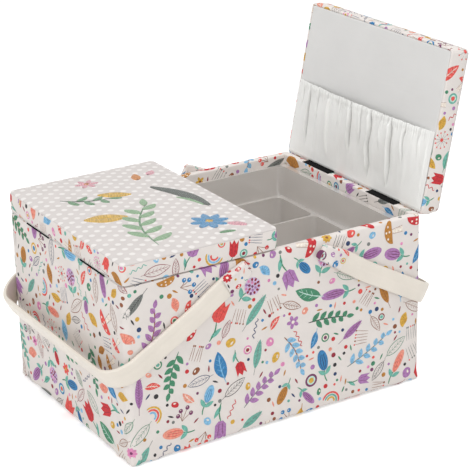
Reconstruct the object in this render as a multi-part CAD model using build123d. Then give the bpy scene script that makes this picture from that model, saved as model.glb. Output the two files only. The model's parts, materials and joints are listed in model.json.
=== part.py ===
from build123d import *
import os
from math import cos, pi, radians, sin

# Twin-lid fabric-covered sewing box, in millimetres
# Origin under the middle of the base, X along the length, front face towards -Y, Z up
# At rest the left lid is shut and the right lid stands open, as the object is shown

# Body
BOX_LENGTH = 320.0
BOX_DEPTH = 231.0
BOX_HEIGHT = 174.0
CORNER_RADIUS = 11.0
LEAST_RADIUS = 0.8

# Layers of the walls, from the outside in
COVER = 1.2
WADDING = 2.3
BOARD = 3.2
LINING = 3.0
TURN_IN_DEPTH = 11.0
HEM_UNDER = 14.0
RIM_ROUND = 1.5
FLOOR_LINING = 2.0
SEAM_GAP = 0.2
BASE_SHEET = 1.5
BASE_INSET = 6.0

# Lids
LID_CORNER = 9.0
LID_MEET_GAP = 3.0
LID_RAIL_WIDTH = 12.0
LID_RAIL_HEIGHT = 9.7
LID_LINING = 1.8
LID_MARGIN = 4.5
LID_PADDING = 2.5
CROWN_RISE = 5.0
CROWN_EDGE = 2.4
CROWN_SHOULDER = 8.0
CROWN_FLAT = 30.0
LID_OPEN_ANGLE = 102.0

# Webbing hinges
TAPE = 0.5
TAPE_WIDTH = 46.0
TAPE_REACH = 7.0
TAPE_OFFSET = 57.0
TAPE_FOLD_GAP = 0.1

# Gathered pocket in the right lid
POCKET_HALF_WIDTH = 104.0
POCKET_START = 9.0
POCKET_MOUTH = 78.0
POCKET_CLOTH = 1.2
POCKET_SEAM = 1.5
POCKET_BOW = 8.6
POCKET_SWELL = 1.6
POCKET_FOLDS = [-60.0, -27.0, 5.0, 48.0, 84.0]
PUFF_STEPS = 5
CASING_WIDTH = 6.0
CASING_DEPTH = 2.0
ELASTIC_WIDTH = 4.0
ELASTIC = 0.8

# Trays
TRAY_WALL = 1.0
TRAY_FLANGE = 1.0
TRAY_FIT = 0.5
TRAY_SIDE_GAP = 0.6
TRAY_END_GAP = 4.3
TRAY_MIDDLE_FLANGE = 2.5
TRAY_UPPER_DEPTH = 32.0
TRAY_LOWER_DEPTH = 31.5
TRAY_LEDGE_END = 8.0
TRAY_LEDGE_SIDE = 6.0
TRAY_CORNER = 8.0
TRAY_DRAFT = 2.0
DIVIDER_PLACE = 33.0
DIVIDER = 2.4

# Handles
PIVOT_X = 47.0
PIVOT_DOWN = 16.0
GRIP_GAP = 10.6
HANDLE_DROP = 29.5
HANDLE_CORNER = 29.0
STRAP_WIDTH = 20.4
STRAP = 4.0
STRAP_EDGE_ROUND = 1.5
STRAP_TAIL = 11.0
CORE_WIDTH = 15.0
CORE = 1.4
CORE_TAIL = 8.0
TAB_LENGTH = 28.0
TAB_WIDTH = 22.4
TAB_BACK = 1.0
TAB_FRONT = 3.6
TAB_GAP = 0.9
TAB_ROUND = 2.6
RIVET_RADIUS = 2.5
RIVET_HEAD_RADIUS = 5.0
RIVET_HEAD = 1.2
RIVET_CLEARANCE = 0.05
RIVET_END_PLAY = 0.1
RIVET_HEAD_ROOM = 0.4

# Places that follow from the sizes
HALF_LENGTH = BOX_LENGTH / 2
HALF_DEPTH = BOX_DEPTH / 2
BOARD_OUTSIDE = COVER + WADDING
BOARD_INSIDE = BOARD_OUTSIDE + BOARD
RIM_INSIDE = BOARD_INSIDE + COVER
LINING_INSIDE = BOARD_INSIDE + LINING
LINING_TOP = BOX_HEIGHT - TURN_IN_DEPTH - SEAM_GAP
HEM_TOP = BASE_SHEET + COVER
BASE_TOP = HEM_TOP + BOARD
LID_BOTTOM = BOX_HEIGHT + 2 * TAPE + TAPE_FOLD_GAP
HINGE_Z = BOX_HEIGHT + TAPE + TAPE_FOLD_GAP / 2
LID_LENGTH = HALF_LENGTH - LID_MEET_GAP / 2
LID_MIDDLE = HALF_LENGTH - LID_LENGTH / 2
RAIL_TOP = LID_LINING + LID_RAIL_HEIGHT
LID_BOARD_TOP = RAIL_TOP + BOARD
SKIRT_TOP = LID_BOARD_TOP + LID_PADDING
ARM_INSIDE = HALF_DEPTH + TAB_GAP + TAB_BACK
ARM_OUTSIDE = ARM_INSIDE + STRAP
PIVOT_Z = BOX_HEIGHT - PIVOT_DOWN
HANDLE_REACH = (HALF_LENGTH + GRIP_GAP - PIVOT_X) / cos(radians(HANDLE_DROP)) + STRAP


def plan(length, depth, radius, inset):
    """Rounded rectangle drawn in by inset on every side."""
    corner = max(radius - inset, LEAST_RADIUS)
    return RectangleRounded(length - 2 * inset, depth - 2 * inset, corner)


def body_prism(inset, bottom, top):
    """Upright block with the body's plan, drawn in by inset."""
    outline = plan(BOX_LENGTH, BOX_DEPTH, CORNER_RADIUS, inset)
    return extrude(Pos(0, 0, bottom) * outline, top - bottom)


def lid_prism(inset, bottom, top):
    """Upright block with the shut right lid's plan, drawn in by inset."""
    outline = plan(LID_LENGTH, BOX_DEPTH, LID_CORNER, inset)
    return extrude(Pos(LID_MIDDLE, 0, LID_BOTTOM + bottom) * outline, top - bottom)


def block(x0, x1, y0, y1, z0, z1):
    """Box between two corners."""
    middle = Pos((x0 + x1) / 2, (y0 + y1) / 2, (z0 + z1) / 2)
    return middle * Box(x1 - x0, y1 - y0, z1 - z0)


def rod_along_y(x, z, radius, y0, y1):
    """Round rod along Y between y0 and y1."""
    return Pos(x, (y0 + y1) / 2, z) * Rot(90, 0, 0) * Cylinder(radius, abs(y1 - y0))


def walls_of(ring, middle, half_x, half_y):
    """Front, back, left and right pieces of a ring, where the long walls keep the corners."""
    far = BOX_LENGTH
    low = ring.bounding_box().min.Z
    high = ring.bounding_box().max.Z
    front = ring & block(-far, far, -far, -half_y, low, high)
    back = ring & block(-far, far, half_y, far, low, high)
    left = ring & block(middle - far, middle - half_x, -half_y, half_y, low, high)
    right = ring & block(middle + half_x, middle + far, -half_y, half_y, low, high)
    return {"front": front, "back": back, "left": left, "right": right}


def body_walls(outside, inside, bottom, top):
    """The four walls between two insets of the body's plan."""
    ring = body_prism(outside, bottom, top) - body_prism(inside, bottom, top)
    corner = max(CORNER_RADIUS, inside + LEAST_RADIUS)
    return walls_of(ring, 0, HALF_LENGTH - corner, HALF_DEPTH - corner)


def pivot_rods(radius, y0, y1):
    """Rods at the four handle pivots, from y0 to y1 out from the middle."""
    rods = []
    for side in (-1, 1):
        for face in (-1, 1):
            rods.append(rod_along_y(side * PIVOT_X, PIVOT_Z, radius, face * y0, face * y1))
    return rods


def drilled(shape):
    """The shape with the rivets' holes through its front and back walls."""
    for rod in pivot_rods(RIVET_RADIUS, HALF_DEPTH - LINING_INSIDE, HALF_DEPTH + TAB_GAP):
        shape = shape - rod
    return shape


# Printed cover, wadding and boards
def body_cover():
    """Printed cloth round the walls, over the rim and under the base's edge."""
    outside = body_prism(0, BASE_SHEET, BOX_HEIGHT)
    outside = fillet(outside.edges().group_by(Axis.Z)[0], BOARD_OUTSIDE)
    outside = fillet(outside.edges().group_by(Axis.Z)[-1], RIM_ROUND)
    hollow = body_prism(COVER, HEM_TOP, BOX_HEIGHT - COVER)
    hollow = fillet(hollow.edges().group_by(Axis.Z)[0], WADDING)
    turn_in = body_prism(BOARD_INSIDE, BOX_HEIGHT - TURN_IN_DEPTH, BOX_HEIGHT - COVER)
    cloth = outside - hollow + turn_in
    cloth = cloth - body_prism(RIM_INSIDE, BOX_HEIGHT - TURN_IN_DEPTH, BOX_HEIGHT)
    cloth = cloth - body_prism(HEM_UNDER, BASE_SHEET, HEM_TOP)
    return drilled(cloth)


def wall_wadding():
    """Thin wadding under the cover, all round the boards."""
    pad = body_prism(COVER, HEM_TOP, BOX_HEIGHT - COVER)
    pad = fillet(pad.edges().group_by(Axis.Z)[0], WADDING)
    return drilled(pad - body_prism(BOARD_OUTSIDE, HEM_TOP, BOX_HEIGHT - COVER))


def wall_boards():
    """The four wall boards, with the rivets' holes and seats in the long ones."""
    boards = body_walls(BOARD_OUTSIDE, BOARD_INSIDE, HEM_TOP, BOX_HEIGHT - COVER)
    seat = HALF_DEPTH - BOARD_INSIDE
    for name in ("front", "back"):
        board = drilled(boards[name])
        for rod in pivot_rods(RIVET_HEAD_RADIUS, seat, seat + RIVET_HEAD):
            board = board - rod
        boards[name] = board
    return boards


def handle_rivets():
    """Four rivets that the handles turn on, each with a head inside and one outside."""
    inner = HALF_DEPTH - BOARD_INSIDE
    outer = ARM_OUTSIDE + RIVET_END_PLAY
    shafts = pivot_rods(RIVET_RADIUS, inner, outer + RIVET_HEAD)
    inner_heads = pivot_rods(RIVET_HEAD_RADIUS, inner, inner + RIVET_HEAD)
    outer_heads = pivot_rods(RIVET_HEAD_RADIUS, outer, outer + RIVET_HEAD)
    return [a + b + c for a, b, c in zip(shafts, inner_heads, outer_heads)]


def hinge_tapes(bottom, top):
    """Two flat strips of webbing at the right hinge, between two heights."""
    strips = []
    for side in (-1, 1):
        low = side * TAPE_OFFSET - TAPE_WIDTH / 2
        strips.append(
            block(HALF_LENGTH - TAPE_REACH, HALF_LENGTH, low, low + TAPE_WIDTH, bottom, top)
        )
    return strips


# Lids, made shut over the right half
def crown(thickness):
    """Padded top of a lid inside a cloth of that thickness, from its skirt to a flat middle."""
    steps = [
        (0.0, 0.0, LID_CORNER),
        (0.6, CROWN_EDGE, LID_CORNER),
        (0.88, CROWN_SHOULDER, LID_CORNER + CROWN_EDGE),
        (1.0, CROWN_FLAT, LID_CORNER + CROWN_SHOULDER),
    ]
    sections = []
    for share, inset, radius in steps:
        height = LID_BOTTOM + SKIRT_TOP - thickness + share * CROWN_RISE
        length = LID_LENGTH - 2 * (thickness + inset)
        depth = BOX_DEPTH - 2 * (thickness + inset)
        outline = RectangleRounded(length, depth, radius - thickness)
        sections.append(Pos(LID_MIDDLE, 0, height) * outline)
    return loft(sections, ruled=True)


def lid_cover():
    """Printed skirt with its turned-in margin on the underside."""
    outside = lid_prism(0, 0, SKIRT_TOP)
    outside = fillet(outside.edges().group_by(Axis.Z)[0], RIM_ROUND)
    skirt = outside - lid_prism(COVER, LID_LINING, SKIRT_TOP)
    return skirt - lid_prism(LID_MARGIN, 0, LID_LINING)


def lid_rails():
    """Four rails under the lid board."""
    inside = COVER + LID_RAIL_WIDTH
    ring = lid_prism(COVER, LID_LINING, RAIL_TOP) - lid_prism(inside, LID_LINING, RAIL_TOP)
    rails = walls_of(ring, LID_MIDDLE, LID_LENGTH / 2 - inside, HALF_DEPTH - inside)
    return list(rails.values())


def lid_pieces():
    """Every piece of a lid, shut, over the right half of the box."""
    stuffing = lid_prism(COVER, LID_BOARD_TOP, SKIRT_TOP - COVER) + crown(COVER)
    return {
        "lid_cover": lid_cover(),
        "lid_frame": Compound(children=lid_rails()),
        "lid_board": lid_prism(COVER, RAIL_TOP, LID_BOARD_TOP),
        "lid_padding": stuffing,
        "lid_top_panel": crown(0) - stuffing,
        "lid_lining": lid_prism(LID_MARGIN + SEAM_GAP, 0, LID_LINING),
        "lid_tapes": Compound(children=hinge_tapes(LID_BOTTOM - TAPE, LID_BOTTOM)),
    }


# Pocket, made on the shut right lid
def pocket_frame(reach):
    """Plane across the lid at a reach from its hinge: local x is Y, local y is up."""
    place = (HALF_LENGTH - reach, 0, LID_BOTTOM)
    return Plane(origin=place, x_dir=(0, 1, 0), z_dir=(1, 0, 0))


def bow(y):
    """How far the pocket's mouth stands off the lining at y."""
    share = y / POCKET_HALF_WIDTH
    return CASING_DEPTH + (POCKET_BOW - CASING_DEPTH) * (1 - share * share)


def gathers(base, swell):
    """Points (y, lift) over the folds and the puffs between them, above a base line."""
    edges = [-POCKET_HALF_WIDTH] + POCKET_FOLDS + [POCKET_HALF_WIDTH]
    points = []
    for y0, y1 in zip(edges, edges[1:]):
        for step in range(PUFF_STEPS):
            share = step / PUFF_STEPS
            y = y0 + (y1 - y0) * share
            points.append((y, base(y) + swell * sin(pi * share)))
    points.append((POCKET_HALF_WIDTH, base(POCKET_HALF_WIDTH)))
    return points


def sheet_section(reach, tops, thickness):
    """Section of cloth across the lid, with its outer side along the tops."""
    over = [(y, -lift) for y, lift in tops]
    under = [(y, thickness - lift) for y, lift in reversed(tops)]
    return pocket_frame(reach) * make_face(Polyline(*over, *under, close=True))


def pocket_pieces():
    """Gathered pocket with its main folds, and the elastic in its casing."""
    half = POCKET_HALF_WIDTH
    foot = POCKET_CLOTH + SEAM_GAP
    low = gathers(lambda y: foot, POCKET_SWELL / 2)
    high = gathers(bow, POCKET_SWELL)
    cloth = loft(
        [
            sheet_section(POCKET_START, low, POCKET_CLOTH),
            sheet_section(POCKET_MOUTH - CASING_WIDTH, high, POCKET_CLOTH),
        ],
        ruled=True,
    )
    mouth = gathers(bow, 0)
    casing = sheet_section(POCKET_MOUTH, mouth, CASING_DEPTH)
    cloth = cloth + extrude(casing, CASING_WIDTH, dir=(1, 0, 0))
    start_x = HALF_LENGTH - POCKET_START
    mouth_x = HALF_LENGTH - POCKET_MOUTH
    for side in (-1, 1):
        seam = sorted((side * half, side * (half + POCKET_SEAM)))
        cloth = cloth + block(
            mouth_x, start_x, seam[0], seam[1], LID_BOTTOM - CASING_DEPTH, LID_BOTTOM
        )
    cloth = cloth + block(
        start_x - POCKET_SEAM, start_x, -half, half, LID_BOTTOM - foot, LID_BOTTOM
    )
    slack = (CASING_DEPTH - ELASTIC) / 2
    middle = [(y, lift - slack) for y, lift in mouth]
    near = POCKET_MOUTH - (CASING_WIDTH - ELASTIC_WIDTH) / 2
    strip = sheet_section(near, middle, ELASTIC)
    elastic = extrude(strip, ELASTIC_WIDTH, dir=(1, 0, 0))
    return {"lid_pocket": cloth - elastic, "pocket_elastic": elastic}


# Trays, made over the right half
def tray_block(x0, x1, y0, y1, top, depth, radius):
    """Block that hangs down from top, with rounded corners and drafted sides."""
    outline = RectangleRounded(x1 - x0, y1 - y0, radius)
    place = Pos((x0 + x1) / 2, (y0 + y1) / 2, top)
    return extrude(place * outline, -depth, taper=TRAY_DRAFT)


def tray():
    """Thin moulded tray: a flange, a shallow upper level, a ledge and two deep wells."""
    top = LINING_TOP + TRAY_FLANGE
    end = HALF_LENGTH - LINING_INSIDE - TRAY_END_GAP
    side = HALF_DEPTH - LINING_INSIDE - TRAY_SIDE_GAP
    start = TRAY_FIT + TRAY_MIDDLE_FLANGE
    ledge_top = top - TRAY_UPPER_DEPTH
    flange = extrude(
        Pos((TRAY_FIT + HALF_LENGTH - RIM_INSIDE - TRAY_FIT) / 2, 0, LINING_TOP)
        * RectangleRounded(
            HALF_LENGTH - RIM_INSIDE - 2 * TRAY_FIT,
            2 * (HALF_DEPTH - RIM_INSIDE - TRAY_FIT),
            max(CORNER_RADIUS - RIM_INSIDE - TRAY_FIT, LEAST_RADIUS),
        ),
        TRAY_FLANGE,
    )
    basin = tray_block(
        start, end, -side, side, top, TRAY_UPPER_DEPTH + TRAY_WALL, TRAY_CORNER
    )
    room = tray_block(
        start + TRAY_WALL, end - TRAY_WALL, TRAY_WALL - side, side - TRAY_WALL,
        top, TRAY_UPPER_DEPTH, TRAY_CORNER - TRAY_WALL,
    )
    shell = flange + basin
    wells = []
    rows = [
        (TRAY_LEDGE_SIDE - side, DIVIDER_PLACE - DIVIDER / 2),
        (DIVIDER_PLACE + DIVIDER / 2, side - TRAY_LEDGE_SIDE),
    ]
    first = start + TRAY_LEDGE_END
    last = end - TRAY_LEDGE_END
    for low, high in rows:
        shell = shell + tray_block(
            first - TRAY_WALL, last + TRAY_WALL, low - TRAY_WALL, high + TRAY_WALL,
            ledge_top, TRAY_LOWER_DEPTH + TRAY_WALL, TRAY_CORNER,
        )
        wells.append(
            tray_block(
                first, last, low, high, ledge_top, TRAY_LOWER_DEPTH,
                TRAY_CORNER - TRAY_WALL,
            )
        )
    shell = shell - room
    for well in wells:
        shell = shell - well
    return shell


# Handles, made flat: x runs from the pivots to the grip, z across the strap
def u_band(inside, outside, reach, width, corner, tail):
    """U-shaped strip round the end of the box, from one pivot to the other."""
    thickness = outside - inside
    outer = RectangleRounded(2 * reach, 2 * outside, corner)
    inner = RectangleRounded(2 * (reach - thickness), 2 * inside, corner - thickness)
    band = extrude(outer - inner, width / 2, both=True)
    return band & block(-tail, reach, -outside, outside, -width / 2, width / 2)


def handle_pieces():
    """Strap, stiff core and the two printed tabs, before the handle is hung."""
    outer = u_band(
        ARM_INSIDE, ARM_OUTSIDE, HANDLE_REACH, STRAP_WIDTH, HANDLE_CORNER, STRAP_TAIL
    )
    rims = outer.edges().group_by(Axis.Z)
    outer = fillet(rims[0] + rims[-1], STRAP_EDGE_ROUND)
    inset = (STRAP - CORE) / 2
    core = u_band(
        ARM_INSIDE + inset, ARM_OUTSIDE - inset, HANDLE_REACH - inset, CORE_WIDTH,
        HANDLE_CORNER - inset, CORE_TAIL,
    )
    tabs = []
    strap = outer - core
    half = TAB_LENGTH / 2
    for face in (-1, 1):
        span = sorted((face * (HALF_DEPTH + TAB_GAP), face * (ARM_OUTSIDE + TAB_FRONT)))
        tab = block(-half, half, span[0], span[1], -TAB_WIDTH / 2, TAB_WIDTH / 2)
        front = tab.edges().group_by(Axis.Y)[-1 if face > 0 else 0]
        tab = fillet(tab.edges().filter_by(Axis.Y) + front, TAB_ROUND)
        bore = RIVET_RADIUS + RIVET_CLEARANCE
        hole = rod_along_y(0, 0, bore, face * HALF_DEPTH, face * ARM_OUTSIDE)
        room = RIVET_HEAD_RADIUS + RIVET_HEAD_ROOM
        room_end = ARM_OUTSIDE + RIVET_HEAD + RIVET_HEAD_ROOM
        head = rod_along_y(0, 0, room, face * ARM_OUTSIDE, face * room_end)
        tabs.append(tab - outer - hole - head)
        strap = strap - hole
        core = core - hole
    return {
        "handle_strap": strap,
        "handle_core": core,
        "handle_tabs": Compound(children=tabs),
    }


# Assembly
def hung(shape):
    """Puts a right handle piece at its pivots, hanging at its rest angle."""
    return Pos(PIVOT_X, 0, PIVOT_Z) * Rot(0, HANDLE_DROP, 0) * shape


def opened(shape):
    """Turns a right lid piece about its hinge, from shut to open."""
    return shape.rotate(Axis((HALF_LENGTH, 0, HINGE_Z), (0, 1, 0)), LID_OPEN_ANGLE)


def left_of(shape):
    """The same piece on the left half of the box."""
    return mirror(shape, about=Plane.YZ)


def assembly():
    """Every node of the box, by name."""
    nodes = {
        "base_board": body_prism(BOARD_INSIDE, HEM_TOP, BASE_TOP),
        "base_cover": body_prism(BASE_INSET, 0, BASE_SHEET),
        "body_cover": body_cover(),
        "wall_wadding": wall_wadding(),
        "floor_lining": body_prism(BOARD_INSIDE, BASE_TOP, BASE_TOP + FLOOR_LINING),
        "handle_rivets": Compound(children=handle_rivets()),
    }
    for side, board in wall_boards().items():
        nodes[f"{side}_wall_board"] = board
    linings = body_walls(BOARD_INSIDE, LINING_INSIDE, BASE_TOP + FLOOR_LINING, LINING_TOP)
    for side, card in linings.items():
        nodes[f"{side}_lining"] = card
    strips = hinge_tapes(BOX_HEIGHT, BOX_HEIGHT + TAPE)
    strips = strips + [left_of(strip) for strip in strips]
    nodes["body_hinge_tapes"] = Compound(children=strips)
    for name, shape in lid_pieces().items():
        nodes[f"left_{name}"] = left_of(shape)
        nodes[f"right_{name}"] = opened(shape)
    for name, shape in pocket_pieces().items():
        nodes[f"right_{name}"] = opened(shape)
    for name, shape in handle_pieces().items():
        nodes[f"right_{name}"] = hung(shape)
        nodes[f"left_{name}"] = left_of(hung(shape))
    nodes["right_tray"] = tray()
    nodes["left_tray"] = left_of(tray())
    return nodes


os.makedirs("parts", exist_ok=True)
for node, shape in assembly().items():
    export_step(shape, f"parts/{node}.step")

lid_tilt = radians(LID_OPEN_ANGLE)
lid_tip = HINGE_Z + LID_LENGTH * sin(lid_tilt)
print("open lid's tip height", round(lid_tip, 1))
print("open lid's lean past its hinge", round(-LID_LENGTH * cos(lid_tilt), 1))
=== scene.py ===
from bisect import bisect_left
from itertools import accumulate
import json
from math import ceil, cos, exp, hypot, pi, radians, sin, sqrt
import random

import bmesh
import bpy
from mathutils import Matrix, Vector, noise


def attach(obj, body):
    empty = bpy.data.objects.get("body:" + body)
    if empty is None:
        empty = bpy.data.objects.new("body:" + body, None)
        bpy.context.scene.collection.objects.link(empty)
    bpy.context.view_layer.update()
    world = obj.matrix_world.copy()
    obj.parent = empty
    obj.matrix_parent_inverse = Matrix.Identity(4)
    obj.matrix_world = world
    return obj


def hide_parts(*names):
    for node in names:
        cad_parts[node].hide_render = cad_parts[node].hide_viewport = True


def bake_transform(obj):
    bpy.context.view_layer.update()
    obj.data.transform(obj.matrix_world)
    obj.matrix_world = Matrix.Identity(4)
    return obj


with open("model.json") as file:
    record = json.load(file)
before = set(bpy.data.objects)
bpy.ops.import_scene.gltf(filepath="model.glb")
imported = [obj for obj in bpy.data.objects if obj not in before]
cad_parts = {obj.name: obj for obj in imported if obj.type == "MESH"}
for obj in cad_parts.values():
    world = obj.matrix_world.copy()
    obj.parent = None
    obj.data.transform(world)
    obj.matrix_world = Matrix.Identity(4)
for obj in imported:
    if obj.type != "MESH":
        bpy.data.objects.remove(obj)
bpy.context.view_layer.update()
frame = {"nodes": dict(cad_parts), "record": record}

# Sizes in millimetres, as the CAD model's but for tighter corners
MM = 0.001
LENGTH, DEPTH, HEIGHT, CORNER = 320.0, 231.0, 174.0, 6.0
FOOT = 1.5
RIM_INSIDE, RIM_ROUND, TURN_IN = 7.9, 1.5, 11.0
LID_LENGTH, LID_MIDDLE, LID_CORNER = 158.5, 80.75, 5.0
LID_BOTTOM, SKIRT, LID_MARGIN = 175.1, 19.4, 4.5
HINGE_X, HINGE_Z, OPEN_ANGLE = 160.0, 174.55, 102.0
PIVOT_X, PIVOT_Z, DROP = 47.0, 158.0, 29.5
ARM, REACH, U_CORNER = 119.4, 146.0, 27.0
STRAP_WIDTH, STRAP, STRAP_TAIL = 20.4, 4.0, 11.0


def turn_about_y(x, z, angle):
    """Matrix of a turn about the Y direction through (x, z)."""
    to = Matrix.Translation((x * MM, 0, z * MM))
    return to @ Matrix.Rotation(radians(angle), 4, "Y") @ to.inverted()


SAME = Matrix.Identity(4)
MIRROR = Matrix.Scale(-1, 4, (1, 0, 0))
OPENED = turn_about_y(HINGE_X, HINGE_Z, OPEN_ANGLE)
HUNG = Matrix.Translation((PIVOT_X * MM, 0, PIVOT_Z * MM)) @ Matrix.Rotation(
    radians(DROP), 4, "Y"
)
# Place of each side's lid, handle and tapes
SIDES = {"right": (OPENED, HUNG, SAME), "left": (MIRROR, MIRROR @ HUNG, MIRROR)}


# Materials
def linear(rgb):
    """Colour from 0 to 255 as written on screen, as linear light."""
    out = []
    for value in rgb:
        share = value / 255
        out.append(share / 12.92 if share <= 0.04045 else ((share + 0.055) / 1.055) ** 2.4)
    return (*out, 1.0)


class Nodes:
    """A node tree with a few shorthands."""

    def __init__(self, tree):
        self.tree = tree

    def feed(self, value, socket):
        """Links another node's output, or sets a plain value."""
        if hasattr(value, "is_linked"):
            self.tree.links.new(value, socket)
        else:
            socket.default_value = value

    def node(self, kind, inputs=(), **settings):
        """A new node, with what goes into its inputs by name or number."""
        made = self.tree.nodes.new("ShaderNode" + kind)
        for key, value in settings.items():
            setattr(made, key, value)
        for socket, value in dict(inputs).items():
            if value is not None:
                self.feed(value, made.inputs[socket])
        return made

    def maths(self, operation, a, b=None, clamp=False):
        return self.node("Math", {0: a, 1: b}, operation=operation, use_clamp=clamp).outputs[0]

    def seen(self):
        """1 for what the camera sees, also in a reflection or through glass."""
        paths = self.node("LightPath").outputs
        either = self.maths("MAXIMUM", paths["Is Camera Ray"], paths["Is Glossy Ray"])
        return self.maths("MAXIMUM", either, paths["Is Transmission Ray"])


class Shader(Nodes):
    """A material with the patterns that its finish is made of."""

    def __init__(self, name, rough, **sockets):
        self.material = bpy.data.materials.new(name)
        self.material.use_nodes = True
        super().__init__(self.material.node_tree)
        self.bsdf = self.tree.nodes["Principled BSDF"]
        for socket, value in {"Roughness": rough, **sockets}.items():
            self.feed(value, self.bsdf.inputs[socket.replace("_", " ")])

    def coords(self, kind):
        return self.node("TexCoord").outputs[kind]

    def split(self, vector):
        return self.node("SeparateXYZ", {0: vector}).outputs

    def scaled(self, vector, scale):
        return self.node("VectorMath", {0: vector, 1: scale}, operation="MULTIPLY").outputs[0]

    def noise(self, vector, scale, detail=3.0, rough=0.5):
        inputs = {"Vector": vector, "Scale": scale, "Detail": detail, "Roughness": rough}
        return self.node("TexNoise", inputs).outputs["Fac"]

    def ramp(self, factor, low, high, colours):
        made = self.node("ValToRGB", {"Fac": factor})
        for element, place, colour in zip(made.color_ramp.elements, (low, high), colours):
            element.position = place
            element.color = colour
        return made.outputs["Color"]

    def mix(self, factor, a, b):
        return self.node("Mix", {0: factor, 6: a, 7: b}, data_type="RGBA").outputs[2]

    def bump(self, height, distance, strength=1.0, after=None):
        inputs = {"Height": height, "Distance": distance, "Strength": strength, "Normal": after}
        return self.node("Bump", inputs).outputs["Normal"]

    def weave(self, vector, pitch):
        """Height of a plain weave, from 0 to 1, with threads of that pitch in metres."""
        threads = [
            self.maths("SINE", self.maths("MULTIPLY", part, pi / pitch))
            for part in self.split(vector)[:2]
        ]
        return self.maths("ABSOLUTE", self.maths("MULTIPLY", *threads))

    def mottled(self, vector, rgb, spread, scale):
        """The colour with soft lighter and darker patches."""
        low = linear([c * (1 - spread) for c in rgb])
        high = linear([min(c * (1 + spread), 255) for c in rgb])
        return self.ramp(self.noise(vector, scale), 0.3, 0.7, (low, high))

    def finished(self, colour, normal):
        self.feed(colour, self.bsdf.inputs["Base Color"])
        self.feed(normal, self.bsdf.inputs["Normal"])
        return self.material


COTTON_PITCH, COTTON_DEPTH, COTTON_ROUGH = 0.00055, 0.00008, 0.88


def woven(name, rgb, pitch=COTTON_PITCH, spread=0.012, patch=60, creases=0.0,
          depth=COTTON_DEPTH, strength=0.6, rough=COTTON_ROUGH, **sockets):
    """Plain woven cloth or tape on a piece's own flat coordinates."""
    s = Shader(name, rough, **sockets)
    flat = s.coords("UV")
    normal = s.bump(s.noise(flat, 28, 3, 0.55), creases) if creases else None
    normal = s.bump(s.weave(flat, pitch), depth, strength, normal)
    return s.finished(s.mottled(flat, rgb, spread, patch), normal)


def satin(name, rgb, creases, rough=0.42, painted_fold_shade=False):
    """Smooth lining cloth with a soft shine, faint creases and, if asked, painted shade that greys
    its sharp folds.
    """
    s = Shader(name, rough, Sheen_Weight=0.15, Sheen_Roughness=0.4)
    flat = s.coords("UV")
    face = s.mottled(flat, rgb, 0.01, 25)
    if painted_fold_shade:
        # Painted shade: the 'fold' attribute darkens the colour towards 72% along creases and ruffle
        # valleys.
        fold = s.node("Attribute", attribute_name="fold").outputs["Fac"]
        face = s.mix(fold, face, linear([c * 0.72 for c in rgb]))
    long_creases = s.noise(s.scaled(flat, (1.0, 0.25, 1.0)), 45, 3, 0.6)
    normal = s.bump(long_creases, creases)
    return s.finished(face, s.bump(s.weave(flat, 0.0003), 0.00003, 0.4, normal))


DOT_PITCH, DOT_RADIUS = (17.2, 13.2), 2.75
DOTTED_GROUND, DOT = (214, 208, 205), (234, 230, 227)
GROUND = (231, 224, 219)
INKS = {
    "coral": (226, 88, 82), "red": (200, 52, 58), "teal": (112, 180, 164),
    "green": (74, 138, 106), "mustard": (214, 170, 72), "ochre": (186, 128, 58),
    "mauve": (172, 122, 176), "plum": (118, 60, 98), "blue": (58, 128, 180),
    "sky": (132, 186, 220), "navy": (48, 66, 104), "maroon": (142, 44, 60),
    "brown": (142, 86, 58), "black": (52, 50, 52), "pink": (222, 140, 184),
    "salmon": (234, 152, 132), "grey": (124, 128, 124), "lilac": (206, 184, 214),
    "pale": (244, 226, 214), "mint": (196, 226, 214),
}
STRONG_INKS = [name for name in INKS if name not in ("lilac", "pale", "mint")]


def dotted_cloth():
    """Pale cloth with white dots in staggered rows."""
    s = Shader("dotted_cotton", COTTON_ROUGH)
    flat = s.coords("UV")
    parts = s.split(flat)
    rows = []
    for shift in (0.0, 0.5):
        offsets = []
        for part, pitch in zip(parts, DOT_PITCH):
            cell = s.maths("ADD", s.maths("DIVIDE", part, pitch * MM), 50 + shift)
            local = s.maths("SUBTRACT", s.maths("FRACT", cell), 0.5)
            offsets.append(s.maths("POWER", s.maths("MULTIPLY", local, pitch * MM), 2))
        rows.append(s.maths("SQRT", s.maths("ADD", *offsets)))
    nearest = s.maths("MINIMUM", *rows)
    radius = DOT_RADIUS * MM
    edge = s.maths("DIVIDE", s.maths("SUBTRACT", nearest, radius * 0.85), radius * 0.3, True)
    mask = s.maths("SUBTRACT", 1.0, edge, True)
    face = s.mix(mask, s.mottled(flat, DOTTED_GROUND, 0.012, 60), linear(DOT))
    normal = s.bump(s.noise(flat, 26, 3, 0.55), 0.0004)
    return s.finished(face, s.bump(s.weave(flat, COTTON_PITCH), COTTON_DEPTH, 0.6, normal))


def leather(name, rgb, rough=0.42):
    """Smooth imitation leather with a fine grain."""
    s = Shader(name, rough, Coat_Weight=0.12, Coat_Roughness=0.35)
    place = s.coords("Object")
    cells = s.node("TexVoronoi", {"Vector": place, "Scale": 900}, feature="DISTANCE_TO_EDGE")
    black_to_white = linear((0, 0, 0)), linear((255, 255, 255))
    grain = s.ramp(cells.outputs["Distance"], 0.0, 0.25, black_to_white)
    normal = s.bump(grain, 0.00006, 0.5, s.bump(s.noise(place, 60), 0.0003))
    return s.finished(s.mottled(place, rgb, 0.015, 40), normal)


def tray_plastic():
    """Glossy grey moulded plastic."""
    s = Shader("tray_plastic", 0.16, IOR=1.9, Coat_Weight=1.0, Coat_Roughness=0.04)
    place = s.coords("Object")
    ripple = s.bump(s.noise(place, 16, 2), 0.0012)
    return s.finished(s.mottled(place, (205, 200, 195), 0.02, 14), ripple)


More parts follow.
